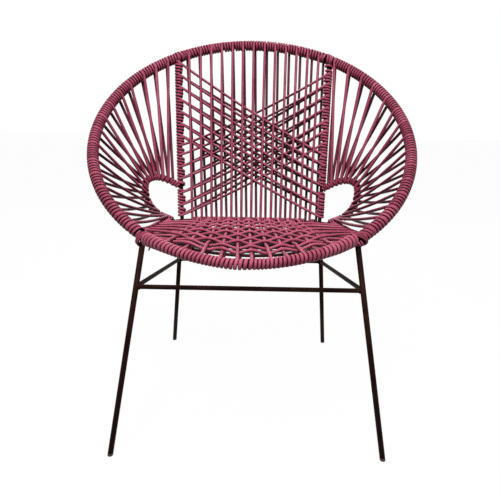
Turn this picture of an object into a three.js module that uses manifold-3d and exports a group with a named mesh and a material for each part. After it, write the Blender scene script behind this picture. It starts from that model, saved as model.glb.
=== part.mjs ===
// Round patio chair: a steel rod frame on four splayed legs, wound and strung with plastic cord.
// A leaning hoop carries the back and the sides, an egg-shaped ring carries the seat.
// Millimetres, +Z up, the chair faces -Y. The origin is on the floor, under the middle of the chair.
import * as THREE from 'three';
import { mergeVertices } from 'three/addons/utils/BufferGeometryUtils.js';
import Module from 'manifold-3d';

const wasm = await Module();
wasm.setup();

// Driving dimensions
const seatHalfWidth = 214;
const seatFrontReach = 233.5;
const seatRearReach = 227;
const seatWidestY = -78;
const seatFrontHeight = 425;
const seatRearHeight = 393.5;
const hoopHalfWidth = 338;
const hoopHalfLength = 331;
const hoopLean = THREE.MathUtils.degToRad(50.7);
const hoopDiameter = 15;
const rodDiameter = 9;
const legDiameter = 11.2;
const cordDiameter = 6;
const woundCordHeight = 4.9;

// Clearance between pieces that touch, and the overrun of a cut
const fitGap = 0.3;
const overrun = 4;

// Facets round the rods and cords. Copes are rounder than the rods that they fit.
const legSides = 10;
const hoopSides = 8;
const rodSides = 8;
const copeSides = 12;
const windingSides = 8;
const cordSides = 5;

const hoopRadius = hoopDiameter / 2;
const rodRadius = rodDiameter / 2;
const legRadius = legDiameter / 2;
const cordRadius = cordDiameter / 2;
const hoopWoundRadius = hoopRadius + woundCordHeight;
const rodWoundRadius = rodRadius + woundCordHeight;

const sides = [
  { label: 'left', sign: -1 },
  { label: 'right', sign: 1 },
];

// Materials
const cordMaterial = new THREE.MeshStandardMaterial({ color: 0x96465f, roughness: 0.38, metalness: 0 });
const seatCordMaterial = new THREE.MeshStandardMaterial({ color: 0xa04a66, roughness: 0.38, metalness: 0 });
const steelMaterial = new THREE.MeshStandardMaterial({ color: 0x2e1c1a, roughness: 0.45, metalness: 0.35 });
const plugMaterial = new THREE.MeshStandardMaterial({ color: 0x161213, roughness: 0.6, metalness: 0 });

// Solids: a closed geometry becomes a solid, and a solid becomes a named mesh
function solidOf(geometry) {
  const bare = geometry.index ? geometry.toNonIndexed() : geometry;
  bare.deleteAttribute('normal');
  bare.deleteAttribute('uv');
  const merged = mergeVertices(bare);
  return new wasm.Manifold(new wasm.Mesh({
    numProp: 3,
    vertProperties: new Float32Array(merged.attributes.position.array),
    triVerts: new Uint32Array(merged.index.array),
  }));
}

function meshOf(name, solid, material) {
  const data = solid.getMesh();
  const geometry = new THREE.BufferGeometry();
  geometry.setAttribute('position', new THREE.BufferAttribute(data.vertProperties, 3));
  geometry.setIndex(new THREE.BufferAttribute(data.triVerts, 1));
  geometry.computeVertexNormals();
  const mesh = new THREE.Mesh(geometry, material);
  mesh.name = name;
  return mesh;
}

function joined(solids) {
  return solids.reduce((whole, solid) => whole.add(solid));
}

// A smooth path whose tube has a step at each of its points
class ThroughPoints extends THREE.CatmullRomCurve3 {
  getPointAt(share, target) {
    return this.getPoint(share, target);
  }

  getTangentAt(share, target) {
    return this.getTangent(share, target);
  }
}

// A stretch of a path given by a formula, between two of its parameters
class Stretch extends THREE.Curve {
  constructor(pointAt, from, to) {
    super();
    this.pointAt = pointAt;
    this.from = from;
    this.to = to;
    this.arcLengthDivisions = 600;
  }

  getPoint(share, target = new THREE.Vector3()) {
    return target.copy(this.pointAt(this.from + (this.to - this.from) * share));
  }
}

function roundSection(radius, sideCount) {
  const points = [];
  for (let i = 0; i < sideCount; i += 1) {
    const angle = (2 * Math.PI * i) / sideCount;
    points.push(new THREE.Vector2(radius * Math.cos(angle), radius * Math.sin(angle)));
  }
  return new THREE.Shape(points);
}

function tube(path, radius, sideCount, steps) {
  return solidOf(new THREE.ExtrudeGeometry(roundSection(radius, sideCount), {
    steps, bevelEnabled: false, extrudePath: path,
  }));
}

function bar(start, end, radius, sideCount) {
  return tube(new THREE.LineCurve3(start, end), radius, sideCount, 1);
}

function mirrored(point, sign) {
  return new THREE.Vector3(sign * point.x, point.y, point.z);
}

function tangentOf(pointAt, at) {
  const nudge = 0.001;
  return pointAt(at + nudge).sub(pointAt(at - nudge)).normalize();
}

// Seat ring: an egg in plan, blunt at the back, its front corners bent up a little.
// The turn is measured round the ring from the middle of the front, positive to the right.
const seatFrontExponent = 1.85;
const seatRearExponent = 4;
const seatSideBow = 14;
const seatBowEnd = THREE.MathUtils.degToRad(112.5);
const seatRingSteps = 44;

function seatPoint(turn) {
  const isFront = Math.cos(turn) > 0;
  const exponent = isFront ? seatFrontExponent : seatRearExponent;
  const reach = isFront ? seatFrontReach : seatRearReach;
  const along = Math.abs(Math.cos(turn) / reach) ** exponent;
  const across = Math.abs(Math.sin(turn) / seatHalfWidth) ** exponent;
  const radius = (along + across) ** (-1 / exponent);
  const y = seatWidestY - radius * Math.cos(turn);
  const drop = (seatFrontHeight - seatRearHeight) / (seatFrontReach + seatRearReach);
  const turnedBy = Math.abs(Math.atan2(Math.sin(turn), Math.cos(turn)));
  const bow = turnedBy < seatBowEnd ? seatSideBow * Math.sin((Math.PI * turnedBy) / seatBowEnd) ** 2 : 0;
  const z = seatRearHeight + drop * (seatWidestY + seatRearReach - y) + bow;
  return new THREE.Vector3(radius * Math.sin(turn), y, z);
}

// The turn of the ring's rear bar, or of its front, at the point that lies this far to the right
function seatTurnAcross(x, isFront) {
  const exponent = isFront ? seatFrontExponent : seatRearExponent;
  const reach = isFront ? -seatFrontReach : seatRearReach;
  const away = reach * (1 - Math.abs(x / seatHalfWidth) ** exponent) ** (1 / exponent);
  return Math.atan2(x, -away);
}

function seatPointAcross(x, isFront) {
  return seatPoint(seatTurnAcross(x, isFront));
}

// The turn of the ring's right side at the point that lies this far back from its widest line
function seatTurnBehind(away) {
  const exponent = away < 0 ? seatFrontExponent : seatRearExponent;
  const reach = away < 0 ? seatFrontReach : seatRearReach;
  const x = seatHalfWidth * (1 - Math.abs(away / reach) ** exponent) ** (1 / exponent);
  return Math.atan2(x, -away);
}

function seatPointBehind(away) {
  return seatPoint(seatTurnBehind(away));
}

function closedRing(radius, sideCount) {
  const path = new Stretch(seatPoint, -Math.PI, Math.PI);
  return solidOf(new THREE.TubeGeometry(path, seatRingSteps, radius, sideCount, true));
}

// Hoop: three quarters of a near circle, leaning back, whose ends stand on the seat ring's corners.
// The turn is measured round the hoop from its top, positive to the right.
const cornerTurn = THREE.MathUtils.degToRad(69);
const corner = seatPoint(cornerTurn);
const hoopSteps = 40;
const hoopEndTurn = Math.PI - Math.asin(corner.x / hoopHalfWidth);
const hoopEndFall = hoopHalfLength * Math.cos(hoopEndTurn);
const hoopCentre = new THREE.Vector3(
  0,
  corner.y - hoopEndFall * Math.sin(hoopLean),
  corner.z - hoopEndFall * Math.cos(hoopLean),
);

function hoopPoint(turn) {
  const rise = hoopHalfLength * Math.cos(turn);
  return new THREE.Vector3(
    hoopHalfWidth * Math.sin(turn),
    hoopCentre.y + rise * Math.sin(hoopLean),
    hoopCentre.z + rise * Math.cos(hoopLean),
  );
}

// The turn of the hoop's right side that lies this far above its end, in its own plane
function hoopTurnAbove(rise) {
  return Math.acos((hoopEndFall + rise) / hoopHalfLength);
}

// The hoop comes to the ring aslant, so the bar stops short of the ring's axis and is coped
const hoopSetBack = 9;
const hoopBarTurn = hoopEndTurn - hoopSetBack / hoopHalfLength;

function hoopBar(radius) {
  return tube(new Stretch(hoopPoint, -hoopBarTurn, hoopBarTurn), radius, hoopSides, hoopSteps);
}

// Back uprights: straight rods from the ring's rear bar to the hoop
const uprightFootHalf = 163;
const uprightHeadHalf = 177;
const uprightHeadTurn = Math.asin(uprightHeadHalf / hoopHalfWidth);
const uprightFoot = seatPointAcross(uprightFootHalf, false);
const uprightHead = hoopPoint(uprightHeadTurn);

function uprightPoint(share, sign) {
  return mirrored(uprightFoot.clone().lerp(uprightHead, share), sign);
}

function uprightBar(sign, radius, sideCount = rodSides) {
  return bar(uprightPoint(0, sign), uprightPoint(1, sign), radius, sideCount);
}

// Arm loops: small rods that swing out from the uprights and down to the ring's rear corners.
// The shares run outwards, forwards and down from the joint on the upright.
const armJointShare = 0.2;
const armLoopReach = 91;
const armLoopForward = 50;
const armLoopDrop = 72;
const armFootBehind = 190;
const armLoopSteps = 12;
const armLoopShares = [
  [0.24, -0.04, -0.19],
  [0.72, -0.14, -0.34],
  [0.97, -0.04, -0.22],
  [1, 0.18, 0.08],
  [0.88, 0.46, 0.5],
  [0.6, 0.74, 0.8],
];

function armLoopPath(sign) {
  const joint = uprightPoint(armJointShare, 1);
  const points = armLoopShares.map(([out, forward, down]) => new THREE.Vector3(
    joint.x + out * armLoopReach,
    joint.y - forward * armLoopForward,
    joint.z - down * armLoopDrop,
  ));
  const all = [joint, ...points, seatPointBehind(armFootBehind)];
  return new THREE.CatmullRomCurve3(all.map((point) => mirrored(point, sign)), false, 'centripetal');
}

function armLoopBar(sign, radius) {
  return tube(armLoopPath(sign), radius, rodSides, armLoopSteps);
}

// Legs: straight tubes from the floor up to the seat ring, cut level at the floor
const frontFoot = new THREE.Vector3(268.6, -233.7, 0);
const rearFoot = new THREE.Vector3(218.8, 290.9, 0);
const rearLegTurn = THREE.MathUtils.degToRad(140.5);
const legWall = 1.2;
const legBoreRadius = legRadius - legWall;
const plugFlange = 6;
const plugSpigot = 14;
const frontJointHeight = 332;
const rearJointHeight = 285;
const legs = [
  { label: 'front', foot: frontFoot, top: corner, jointHeight: frontJointHeight },
  { label: 'rear', foot: rearFoot, top: seatPoint(rearLegTurn), jointHeight: rearJointHeight },
];

// The point of a leg's axis at this height
function legPoint(leg, height, sign) {
  return mirrored(leg.foot.clone().lerp(leg.top, height / leg.top.z), sign);
}

function legBar(leg, sign, radius, fromHeight, toHeight) {
  return bar(legPoint(leg, fromHeight, sign), legPoint(leg, toHeight, sign), radius, legSides);
}

// A level slab round one foot, that cuts what lies between two heights
function slab(leg, sign, fromHeight, toHeight) {
  const width = 4 * legDiameter;
  const box = new THREE.BoxGeometry(width, width, toHeight - fromHeight);
  const middle = legPoint(leg, 0, sign);
  return solidOf(box.translate(middle.x, middle.y, (fromHeight + toHeight) / 2));
}

// The whole frame, a fit gap fatter than it is: cord solids are cut clear of it
const stretchers = [
  { label: 'front', from: legPoint(legs[0], frontJointHeight, -1), to: legPoint(legs[0], frontJointHeight, 1) },
  { label: 'rear', from: legPoint(legs[1], rearJointHeight, -1), to: legPoint(legs[1], rearJointHeight, 1) },
  { label: 'left', from: legPoint(legs[0], frontJointHeight, -1), to: legPoint(legs[1], rearJointHeight, -1) },
  { label: 'right', from: legPoint(legs[0], frontJointHeight, 1), to: legPoint(legs[1], rearJointHeight, 1) },
];
const ringClear = closedRing(rodRadius + fitGap, rodSides);
const ringCope = closedRing(rodRadius + fitGap, copeSides);
const hoopClear = hoopBar(hoopRadius + fitGap);
const uprightsClear = joined(sides.map(({ sign }) => uprightBar(sign, rodRadius + fitGap)));
const uprightsCope = joined(sides.map(({ sign }) => uprightBar(sign, rodRadius + fitGap, copeSides)));
const loopsClear = joined(sides.map(({ sign }) => armLoopBar(sign, rodRadius + fitGap)));
const legsClear = joined(sides.flatMap(({ sign }) => (
  legs.map((leg) => legBar(leg, sign, legRadius + fitGap, -overrun, leg.top.z))
)));
const frameClear = joined([ringClear, hoopClear, uprightsClear, loopsClear, legsClear]);

const chair = new THREE.Group();

// Frame pieces, each coped round the rod that it is welded to
function addFrame() {
  chair.add(meshOf('seat_ring', closedRing(rodRadius, rodSides), steelMaterial));
  chair.add(meshOf('hoop', hoopBar(hoopRadius).subtract(ringCope), steelMaterial));
  for (const { label, sign } of sides) {
    const upright = uprightBar(sign, rodRadius).subtract(hoopClear).subtract(ringCope);
    chair.add(meshOf(`back_upright_${label}`, upright, steelMaterial));
    const loop = armLoopBar(sign, rodRadius).subtract(uprightsCope).subtract(ringCope);
    chair.add(meshOf(`arm_loop_${label}`, loop, steelMaterial));
  }
}

function addLegs() {
  for (const leg of legs) {
    for (const { label, sign } of sides) {
      const name = `${leg.label}_${label}`;
      const outer = legBar(leg, sign, legRadius, -overrun, leg.top.z);
      const bore = legBar(leg, sign, legBoreRadius, -overrun, leg.top.z + overrun);
      const cut = slab(leg, sign, -legDiameter, plugFlange + fitGap);
      const post = outer.subtract(bore).subtract(cut).subtract(ringCope).subtract(hoopClear)
        .subtract(uprightsCope);
      chair.add(meshOf(`leg_${name}`, post, steelMaterial));
      const flange = outer.intersect(slab(leg, sign, 0, plugFlange));
      const spigotRadius = legBoreRadius - fitGap;
      const spigot = legBar(leg, sign, spigotRadius, plugFlange / 2, plugFlange + plugSpigot);
      chair.add(meshOf(`foot_plug_${name}`, flange.add(spigot), plugMaterial));
    }
  }
}

// The side stretchers are coped round the ends of the front and rear ones too
function addStretchers() {
  const crossed = stretchers.filter(({ from, to }) => from.y === to.y);
  const crossedClear = joined(crossed.map(({ from, to }) => bar(from, to, rodRadius + fitGap, rodSides)));
  for (const stretcher of stretchers) {
    const rod = bar(stretcher.from, stretcher.to, rodRadius, rodSides).subtract(legsClear);
    const fitted = crossed.includes(stretcher) ? rod : rod.subtract(crossedClear);
    chair.add(meshOf(`stretcher_${stretcher.label}`, fitted, steelMaterial));
  }
}

// Windings: the cord that is wound turn against turn round a rod
function hoopWinding(fromTurn, toTurn, radius, steps) {
  return tube(new Stretch(hoopPoint, fromTurn, toTurn), radius, windingSides, steps);
}

function ringWinding(fromTurn, toTurn, radius, steps) {
  return tube(new Stretch(seatPoint, fromTurn, toTurn), radius, windingSides, steps);
}

const armWindingFromShare = 0.09;
const armWindingToShare = 0.92;

function armWinding(sign, radius) {
  const path = armLoopPath(sign);
  const stretch = new Stretch((share) => path.getPointAt(share), armWindingFromShare, armWindingToShare);
  return tube(stretch, radius, windingSides, armLoopSteps);
}

const uprightWindingFromShare = 0.045;
const uprightWindingToShare = 0.955;

function uprightWinding(sign, radius) {
  const start = uprightPoint(uprightWindingFromShare, sign);
  return bar(start, uprightPoint(uprightWindingToShare, sign), radius, windingSides);
}

// Where a cord runs off a rod: on the front or the back of the winding, square to rod and run
function runOff(point, tangent, towards, offset) {
  const run = towards.clone().sub(point).normalize();
  const out = new THREE.Vector3().crossVectors(tangent, run).normalize();
  const facing = out.y > 0 ? -1 : 1;
  return point.clone().addScaledVector(out, facing * offset);
}

// Where the crosswise cords of the seat leave the ring's sides, back from its widest line
const crosswiseSide = { front: -15, rear: 160 };
const sideWindingBefore = 22.5;
const sideWindingBeyond = 14;
const sideWindingSteps = 8;
const sideWindingFrom = seatTurnBehind(crosswiseSide.front - sideWindingBefore);
const sideWindingTo = seatTurnBehind(crosswiseSide.rear + sideWindingBeyond);

function sideWinding(sign, radius) {
  return ringWinding(sign * sideWindingFrom, sign * sideWindingTo, radius, sideWindingSteps);
}

// Side cords: each departure on the hoop sends one cord from its front and one from its back
// down to the arm loop, to two neighbouring wraps, so that the fan zigzags
const departureCount = 15;
const firstDepartureBeyondHead = 40;
const fanStartBeyondHead = 11.7;
const lastDepartureRise = 20.9;
const fanEndRise = 16.3;
const rearCordLag = 6;
const firstDepartureTurn = uprightHeadTurn + firstDepartureBeyondHead / hoopHalfLength;
const lastDepartureTurn = hoopTurnAbove(lastDepartureRise);
const fanFirstTurn = uprightHeadTurn + fanStartBeyondHead / hoopHalfLength;
const fanLastTurn = hoopTurnAbove(fanEndRise);
const rearCordLagTurn = rearCordLag / hoopHalfLength;
const hoopRunOff = hoopRadius + fitGap + cordRadius;
const loopRunOff = rodWoundRadius - cordDiameter;
const wrapShares = [
  0.15, 0.205, 0.25, 0.288, 0.324, 0.36, 0.398, 0.438, 0.48, 0.525, 0.58, 0.658, 0.749, 0.842, 0.9,
];
const fanLabels = ['upper', 'middle', 'lower'];
const sideFans = fanLabels.map((label, i) => ({
  label,
  from: (i * departureCount) / fanLabels.length,
  to: ((i + 1) * departureCount) / fanLabels.length,
}));
const fanSteps = 10;

function departureTurn(index) {
  return firstDepartureTurn + (index * (lastDepartureTurn - firstDepartureTurn)) / (departureCount - 1);
}

// The turns of the hoop between which a fan's winding lies
function fanTurns(fan) {
  const before = (departureTurn(fan.from - 1) + departureTurn(fan.from)) / 2;
  const after = (departureTurn(fan.to - 1) + departureTurn(fan.to)) / 2;
  const halfGap = fitGap / 2 / hoopHalfLength;
  return [
    fan.from === 0 ? fanFirstTurn : before + halfGap,
    fan.to === departureCount ? fanLastTurn : after - halfGap,
  ];
}

function sideCord(path, turn, share, offsets, sign) {
  const onHoop = hoopPoint(sign * turn);
  const onLoop = path.getPointAt(share);
  const start = runOff(onHoop, tangentOf(hoopPoint, sign * turn).multiplyScalar(sign), onLoop, offsets.hoop);
  const loopTangent = path.getTangentAt(share);
  const out = new THREE.Vector3().crossVectors(loopTangent, onLoop.clone().sub(onHoop)).normalize();
  const facing = out.dot(start.clone().sub(onHoop)) > 0 ? 1 : -1;
  const end = onLoop.clone().addScaledVector(out, facing * Math.abs(offsets.loop));
  return bar(start, end, cordRadius, cordSides);
}

function sideFan(fan, sign) {
  const path = armLoopPath(sign);
  const [fromTurn, toTurn] = fanTurns(fan);
  const solids = [hoopWinding(sign * fromTurn, sign * toTurn, hoopWoundRadius, fanSteps)];
  for (let i = fan.from; i < fan.to; i += 1) {
    const turn = departureTurn(i);
    const front = { hoop: hoopRunOff, loop: loopRunOff };
    const back = { hoop: -hoopRunOff, loop: -loopRunOff };
    solids.push(sideCord(path, turn, wrapShares[i], front, sign));
    if (i > 0) solids.push(sideCord(path, turn + rearCordLagTurn, wrapShares[i - 1], back, sign));
  }
  return joined(solids).subtract(frameClear).subtract(armWinding(sign, rodWoundRadius + fitGap))
    .subtract(sideWinding(sign, rodWoundRadius + fitGap));
}

function addSides() {
  for (const { label, sign } of sides) {
    const winding = armWinding(sign, rodWoundRadius).subtract(frameClear)
      .subtract(uprightWinding(sign, rodWoundRadius + fitGap));
    chair.add(meshOf(`arm_loop_winding_${label}`, winding, cordMaterial));
    for (const fan of sideFans) {
      chair.add(meshOf(`side_cord_${label}_${fan.label}`, sideFan(fan, sign), cordMaterial));
    }
  }
}

// Back panel: upright cords in a front and a back layer, with two crossed sets between them
const uprightCordCount = 13;
const uprightCordTopHalf = 161;
const uprightCordFootHalf = 144;
const rearCordTopShift = 7;
const rearCordFootShift = 12.7;
const crossSpread = cordRadius + fitGap / 2;
const footRunOff = cordDiameter + 7 * fitGap + crossSpread;
const footRise = cordDiameter;
const topWindingOverhang = 6;
const topWindingTurn = Math.asin((uprightCordTopHalf + topWindingOverhang) / hoopHalfWidth);
const topWindingSteps = 10;
const rearWindingInside = 1.7;
const rearWindingTurn = seatTurnAcross(uprightFootHalf - rearWindingInside, false);
const rearWindingSteps = 8;
const crossCordCount = 7;
const crossSteps = 8;
const fallingShares = { left: [0.96, 0.511], right: [0.404, 0.028] };
const risingShares = { left: [0.444, 0.03], right: [0.902, 0.476] };

function rearWinding(radius) {
  return ringWinding(rearWindingTurn, 2 * Math.PI - rearWindingTurn, radius, rearWindingSteps);
}

// A point of the back's surface: this far across, as a share of the half width, and this far up
function backPoint(across, share) {
  const foot = seatPointAcross(across * uprightFootHalf, false);
  const head = hoopPoint(Math.asin((across * uprightHeadHalf) / hoopHalfWidth));
  return foot.lerp(head, share);
}

function uprightCord(topX, footX, facing) {
  const turn = Math.asin(topX / hoopHalfWidth);
  const head = hoopPoint(turn);
  const foot = seatPointAcross(footX, false);
  const start = runOff(head, tangentOf(hoopPoint, turn), foot, facing * hoopRunOff);
  const end = foot.clone().add(new THREE.Vector3(0, -facing * footRunOff, footRise));
  return bar(start, end, cordRadius, cordSides);
}

function backUprightCords() {
  const solids = [hoopWinding(-topWindingTurn, topWindingTurn, hoopWoundRadius, topWindingSteps)];
  for (let i = 0; i < uprightCordCount; i += 1) {
    const across = (2 * i) / (uprightCordCount - 1) - 1;
    solids.push(uprightCord(across * uprightCordTopHalf, across * uprightCordFootHalf, 1));
    if (i < uprightCordCount - 1) {
      const topX = across * uprightCordTopHalf + rearCordTopShift;
      solids.push(uprightCord(topX, across * uprightCordFootHalf + rearCordFootShift, -1));
    }
  }
  return joined(solids).subtract(frameClear).subtract(rearWinding(rodWoundRadius + fitGap));
}

function crossCord(leftShare, rightShare, offset) {
  const points = [];
  for (let i = 0; i <= crossSteps; i += 1) {
    const along = i / crossSteps;
    const share = THREE.MathUtils.lerp(leftShare, rightShare, along);
    points.push(backPoint(2 * along - 1, share).add(new THREE.Vector3(0, offset, 0)));
  }
  return tube(new ThroughPoints(points), cordRadius, cordSides, crossSteps);
}

function backCrossCords() {
  const solids = sides.map(({ sign }) => uprightWinding(sign, rodWoundRadius));
  for (let i = 0; i < crossCordCount; i += 1) {
    const along = i / (crossCordCount - 1);
    for (const [set, offset] of [[fallingShares, -crossSpread], [risingShares, crossSpread]]) {
      const leftShare = THREE.MathUtils.lerp(set.left[0], set.left[1], along);
      const rightShare = THREE.MathUtils.lerp(set.right[0], set.right[1], along);
      solids.push(crossCord(leftShare, rightShare, offset));
    }
  }
  const hoopFat = hoopWinding(-hoopEndTurn, hoopEndTurn, hoopWoundRadius + fitGap, hoopSteps);
  return joined(solids).subtract(frameClear).subtract(hoopFat).subtract(rearWinding(rodWoundRadius + fitGap));
}

// Seat: lengthwise cords from the front rim to the rear bar, crosswise cords woven over and under
const lengthwiseCount = 11;
const lengthwiseHalf = 145;
const frontWindingTurn = THREE.MathUtils.degToRad(61);
const frontWindingSteps = 20;
const crosswiseCount = 12;
const crosswiseMiddle = { front: -154, rear: 204 };
const weaveLift = cordDiameter + 4 * fitGap;

function lengthwiseX(index) {
  return lengthwiseHalf * ((2 * index) / (lengthwiseCount - 1) - 1);
}

function lengthwiseCords() {
  const solids = [
    ringWinding(-frontWindingTurn, frontWindingTurn, rodWoundRadius, frontWindingSteps),
    rearWinding(rodWoundRadius),
  ];
  for (let i = 0; i < lengthwiseCount; i += 1) {
    const x = lengthwiseX(i);
    const cord = bar(seatPointAcross(x, true), seatPointAcross(x, false), cordRadius, cordSides);
    solids.push(cord);
  }
  return joined(solids).subtract(frameClear);
}

// The height of the lengthwise cord that lies this far across, at this depth
function weaveHeight(x, y) {
  const front = seatPointAcross(x, true);
  const rear = seatPointAcross(x, false);
  return THREE.MathUtils.mapLinear(y, front.y, rear.y, front.z, rear.z);
}

function crosswiseCord(index) {
  const along = index / (crosswiseCount - 1);
  const middle = THREE.MathUtils.lerp(crosswiseMiddle.front, crosswiseMiddle.rear, along);
  const side = THREE.MathUtils.lerp(crosswiseSide.front, crosswiseSide.rear, along);
  const end = seatPointBehind(side);
  const points = [mirrored(end, -1)];
  for (let i = 0; i < lengthwiseCount; i += 1) {
    const x = lengthwiseX(i);
    const bulge = 1 - (x / end.x) ** 2;
    const y = THREE.MathUtils.lerp(end.y, seatWidestY + middle, bulge);
    const over = (index + i) % 2 === 0 ? 1 : -1;
    points.push(new THREE.Vector3(x, y, weaveHeight(x, y) + over * weaveLift));
  }
  points.push(end);
  return tube(new ThroughPoints(points), cordRadius, cordSides, points.length - 1);
}

function crosswiseCords() {
  const solids = sides.map(({ sign }) => sideWinding(sign, rodWoundRadius));
  for (let i = 0; i < crosswiseCount; i += 1) solids.push(crosswiseCord(i));
  return joined(solids).subtract(frameClear);
}

addFrame();
addLegs();
addStretchers();
addSides();
chair.add(meshOf('back_cord_upright', backUprightCords(), cordMaterial));
chair.add(meshOf('back_cord_crossed', backCrossCords(), cordMaterial));
chair.add(meshOf('seat_cord_lengthwise', lengthwiseCords(), seatCordMaterial));
chair.add(meshOf('seat_cord_crosswise', crosswiseCords(), seatCordMaterial));

export default chair;
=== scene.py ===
"""Looks of the round string chair: plastic cord wound and strung on a painted steel frame.

Metres, +Z up, the chair faces -Y. The frame's lines follow the formulas of the solids, but the back uprights
stand a little farther out, as the photo shows them."""
import bisect
import itertools
import math
import random

import bmesh
import bpy
from mathutils import Matrix, Vector


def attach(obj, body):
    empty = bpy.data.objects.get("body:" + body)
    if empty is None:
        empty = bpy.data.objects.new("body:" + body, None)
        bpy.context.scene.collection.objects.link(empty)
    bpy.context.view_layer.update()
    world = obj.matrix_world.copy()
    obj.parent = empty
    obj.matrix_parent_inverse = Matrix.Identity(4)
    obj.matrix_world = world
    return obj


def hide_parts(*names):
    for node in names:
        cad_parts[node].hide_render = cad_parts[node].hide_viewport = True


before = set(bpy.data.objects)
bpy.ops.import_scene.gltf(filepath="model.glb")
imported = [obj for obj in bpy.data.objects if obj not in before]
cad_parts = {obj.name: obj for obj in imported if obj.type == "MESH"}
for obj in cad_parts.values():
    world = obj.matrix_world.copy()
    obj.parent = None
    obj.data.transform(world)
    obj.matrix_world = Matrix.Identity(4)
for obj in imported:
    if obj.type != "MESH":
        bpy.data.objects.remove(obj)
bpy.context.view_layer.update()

# Sizes of the frame
SEAT_HALF_WIDTH = 0.214
SEAT_FRONT_REACH = 0.2335
SEAT_REAR_REACH = 0.227
SEAT_WIDEST_Y = -0.078
SEAT_FRONT_HEIGHT = 0.425
SEAT_REAR_HEIGHT = 0.3935
SEAT_BOW = 0.014
SEAT_BOW_END = math.radians(112.5)
FRONT_EXPONENT = 1.85
REAR_EXPONENT = 4
HOOP_HALF_WIDTH = 0.338
HOOP_HALF_LENGTH = 0.331
HOOP_LEAN = math.radians(50.7)
HOOP_RADIUS = 0.0075
ROD_RADIUS = 0.0045
LEG_RADIUS = 0.0056
CORNER_TURN = math.radians(69)
UPRIGHT_FOOT_HALF = 0.1655
UPRIGHT_HEAD_HALF = 0.1845
FRONT_FOOT = Vector((0.2686, -0.2337, 0))
REAR_FOOT = Vector((0.2188, 0.2909, 0))
REAR_LEG_TURN = math.radians(140.5)
FRONT_JOINT_HEIGHT = 0.332
REAR_JOINT_HEIGHT = 0.285

# Cord sizes: the hollow cord is near round where it is strung. Where it is wound, it is pressed flat
# and as wide as its turns are apart
CORD_WIDTH = 0.0060
CORD_HEIGHT = 0.0049
STRUNG_WIDTH = 0.0064
STRUNG_HEIGHT = 0.0057
SEAT_SHARE = 1.28
TURN_FILL = 0.92
PLUMPNESS = 1.16
# Hooks take at most this share of the pressed turns' painted shade
PLUMP_PAINTED_SHADE = 0.35
ON_HOOP = HOOP_RADIUS + CORD_HEIGHT / 2
ON_ROD = ROD_RADIUS + CORD_HEIGHT / 2
ON_UPRIGHT = ROD_RADIUS + STRUNG_HEIGHT / 2

# Sampling of the cords, how far they wander from their even places, and how windings end
chance = random.Random(11)
TURN = 2 * math.pi
STEPS_A_TURN = 18
STRUNG_STEPS = 16
WINDING_STEP = 0.002
WANDER = 0.0012
END_GAP = 0.001
END_TUCK = 0.001
UP = Vector((0, 0, 1))
FORWARD = Vector((0, -1, 0))
SIDES = ("left", -1), ("right", 1)


# Lines of the frame
def ring_half(front):
    """The exponent and the reach of the seat ring's front half, or of its rear one."""
    return (FRONT_EXPONENT, SEAT_FRONT_REACH) if front else (REAR_EXPONENT, SEAT_REAR_REACH)


def seat_point(turn):
    """The seat ring's line, by the turn round it from the middle of its front."""
    exponent, reach = ring_half(math.cos(turn) > 0)
    along = abs(math.cos(turn) / reach) ** exponent
    across = abs(math.sin(turn) / SEAT_HALF_WIDTH) ** exponent
    radius = (along + across) ** (-1 / exponent)
    y = SEAT_WIDEST_Y - radius * math.cos(turn)
    drop = (SEAT_FRONT_HEIGHT - SEAT_REAR_HEIGHT) / (SEAT_FRONT_REACH + SEAT_REAR_REACH)
    turned = abs(math.atan2(math.sin(turn), math.cos(turn)))
    bow = SEAT_BOW * math.sin(math.pi * turned / SEAT_BOW_END) ** 2 if turned < SEAT_BOW_END else 0
    z = SEAT_REAR_HEIGHT + drop * (SEAT_WIDEST_Y + SEAT_REAR_REACH - y) + bow
    return Vector((radius * math.sin(turn), y, z))


def seat_turn_across(x, front):
    """The turn of the ring's front, or of its rear bar, that lies this far to the right."""
    exponent, reach = ring_half(front)
    away = reach * (1 - abs(x / SEAT_HALF_WIDTH) ** exponent) ** (1 / exponent)
    return math.atan2(x, away if front else -away)


def seat_turn_behind(away):
    """The turn of the ring's right side that lies this far behind its widest line."""
    exponent, reach = ring_half(away < 0)
    x = SEAT_HALF_WIDTH * (1 - abs(away / reach) ** exponent) ** (1 / exponent)
    return math.atan2(x, -away)


corner = seat_point(CORNER_TURN)
HOOP_END_TURN = math.pi - math.asin(corner.x / HOOP_HALF_WIDTH)
hoop_fall = HOOP_HALF_LENGTH * math.cos(HOOP_END_TURN)
hoop_centre = Vector((
    0, corner.y - hoop_fall * math.sin(HOOP_LEAN), corner.z - hoop_fall * math.cos(HOOP_LEAN)))
HOOP_FRONT = Vector((0, -math.cos(HOOP_LEAN), math.sin(HOOP_LEAN)))


def hoop_point(turn):
    """The hoop's line, by the turn round it from its top."""
    rise = HOOP_HALF_LENGTH * math.cos(turn)
    return hoop_centre + Vector((
        HOOP_HALF_WIDTH * math.sin(turn), rise * math.sin(HOOP_LEAN), rise * math.cos(HOOP_LEAN)))


back_front = (hoop_point(0) - seat_point(math.pi)).cross(Vector((-1, 0, 0))).normalized()


def mirrored(point, sign):
    return Vector((sign * point.x, point.y, point.z))


upright_foot = seat_point(seat_turn_across(UPRIGHT_FOOT_HALF, False))
upright_head = hoop_point(math.asin(UPRIGHT_HEAD_HALF / HOOP_HALF_WIDTH))


def upright_point(share, sign):
    return mirrored(upright_foot.lerp(upright_head, share), sign)


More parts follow.
